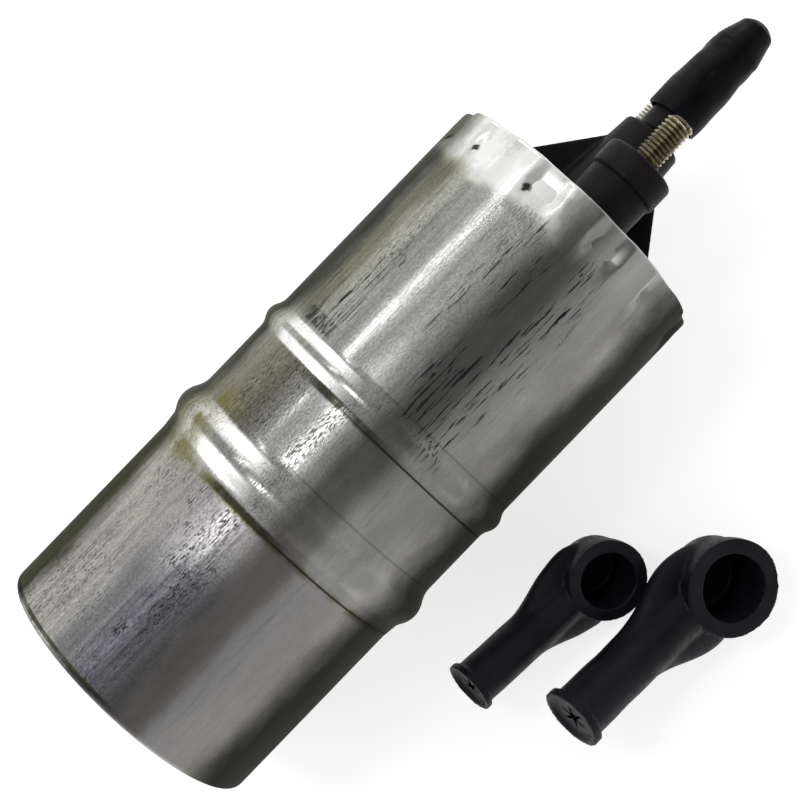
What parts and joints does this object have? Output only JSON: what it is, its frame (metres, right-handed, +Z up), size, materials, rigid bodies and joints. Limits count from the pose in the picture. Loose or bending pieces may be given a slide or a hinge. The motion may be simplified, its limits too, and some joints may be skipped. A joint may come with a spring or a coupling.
{
  "type": "electric fuel pump",
  "caption": "Electric fuel pump in a beaded, staked can with a barbed outlet under a cap, threaded terminals and loose elbow boots.",
  "frame": {"origin": "on the pump's axis, in the middle of the plain band of the can that a clamp holds", "axes": "+X along the pump's axis towards its outlet, +Z up from the surface on which it lies"},
  "size_m": [0.1568, 0.1032, 0.055],
  "materials": {
    "can_aluminium": "satin",
    "cast_cover": "matte",
    "black_moulding": "satin",
    "soft_black": "satin",
    "seal_rubber": "matte",
    "plated_stud": "satin",
    "bright_stud": "satin",
    "sintered_steel": "satin",
    "spring_steel": "satin",
    "bearing_steel": "polished",
    "bush_bronze": "satin",
    "turned_brass": "satin",
    "lamination_steel": "satin",
    "winding_copper": "enamelled",
    "commutator_copper": "satin",
    "hub_plastic": "matte",
    "pale_plastic": "matte",
    "pole_steel": "satin",
    "ferrite": "matte",
    "holder_plastic": "matte",
    "brush_carbon": "matte",
    "choke_wire": "enamelled",
    "strip_copper": "satin"
  },
  "bodies": {
    "pump_body": {"housing_can": "can_aluminium", "inlet_cover": "cast_cover", "inlet_cover_seal": "seal_rubber", "relief_valve_plug": "turned_brass", "relief_valve_spring": "spring_steel", "pump_inlet_plate": "sintered_steel", "pump_stage_ring": "sintered_steel", "pump_outlet_plate": "sintered_steel", "pump_stage_screws": "spring_steel", "front_bearing_bush": "bush_bronze", "rear_bearing_bush": "bush_bronze", "pole_ring": "pole_steel", "magnet_left": "ferrite", "magnet_right": "ferrite", "magnet_clips": "spring_steel", "brush_holder": "holder_plastic", "brush_spring_left": "spring_steel", "brush_spring_right": "spring_steel", "large_stud_choke": "choke_wire", "small_stud_choke": "choke_wire", "large_stud_strip": "strip_copper", "small_stud_strip": "strip_copper", "end_cover": "black_moulding", "end_cover_seal": "seal_rubber", "large_terminal_stud": "plated_stud", "small_terminal_stud": "bright_stud", "check_valve_seat": "turned_brass", "check_valve_spring": "spring_steel"},
    "armature": {"armature_shaft": "bearing_steel", "armature_core": "lamination_steel", "armature_windings": "winding_copper", "commutator_hub": "hub_plastic", "commutator_segments": "commutator_copper", "thrust_washer": "pale_plastic", "drive_coupling": "pale_plastic", "inner_rotor": "sintered_steel"},
    "rotor_ring": {"outer_rotor": "sintered_steel"},
    "brush_left": {"brush_left": "brush_carbon"},
    "brush_right": {"brush_right": "brush_carbon"},
    "relief_ball": {"relief_valve_ball": "bearing_steel"},
    "check_valve": {"check_valve_poppet": "pale_plastic"},
    "cap": {"outlet_cap": "soft_black"},
    "large_boot": {"large_terminal_boot": "soft_black"},
    "small_boot": {"small_terminal_boot": "soft_black"}
  },
  "joints": [
    {"name": "armature_spin", "type": "hinge", "parent": "pump_body", "child": "armature", "pos_m": [0, 0, 0], "axis": [1, 0, 0], "continuous": true},
    {"name": "rotor_ring_spin", "type": "hinge", "parent": "pump_body", "child": "rotor_ring", "pos_m": [0, 0, -0.0012], "axis": [1, 0, 0], "continuous": true},
    {"name": "brush_left_slide", "type": "slide", "parent": "pump_body", "child": "brush_left", "axis": [1, 0, 0], "range_m": [0, 0.002], "stiffness_N_per_m": 400, "springref_m": -0.004, "deforming": ["brush_spring_left"]},
    {"name": "brush_right_slide", "type": "slide", "parent": "pump_body", "child": "brush_right", "axis": [1, 0, 0], "range_m": [0, 0.002], "stiffness_N_per_m": 400, "springref_m": -0.004, "deforming": ["brush_spring_right"]},
    {"name": "relief_ball_lift", "type": "slide", "parent": "pump_body", "child": "relief_ball", "axis": [-1, 0, 0], "range_m": [0, 0.001], "stiffness_N_per_m": 2000, "springref_m": -0.003, "deforming": ["relief_valve_spring"]},
    {"name": "check_valve_lift", "type": "slide", "parent": "pump_body", "child": "check_valve", "axis": [1, 0, 0], "range_m": [0, 0.003], "stiffness_N_per_m": 100, "springref_m": -0.004, "deforming": ["check_valve_spring"]},
    {"name": "cap_pull", "type": "slide", "parent": "pump_body", "child": "cap", "axis": [1, 0, 0], "range_m": [0, 0.03]},
    {"name": "large_boot_slide", "type": "slide", "parent": "pump_body", "child": "large_boot", "axis": [0, -1, 0], "range_m": [0, 0.04]},
    {"name": "small_boot_slide", "type": "slide", "parent": "pump_body", "child": "small_boot", "axis": [-0.9751, 0.2216, 0], "range_m": [0, 0.04]}
  ],
  "couplings": [
    {"joint": "rotor_ring_spin", "follows": "armature_spin", "ratio": 0.85714}
  ]
}
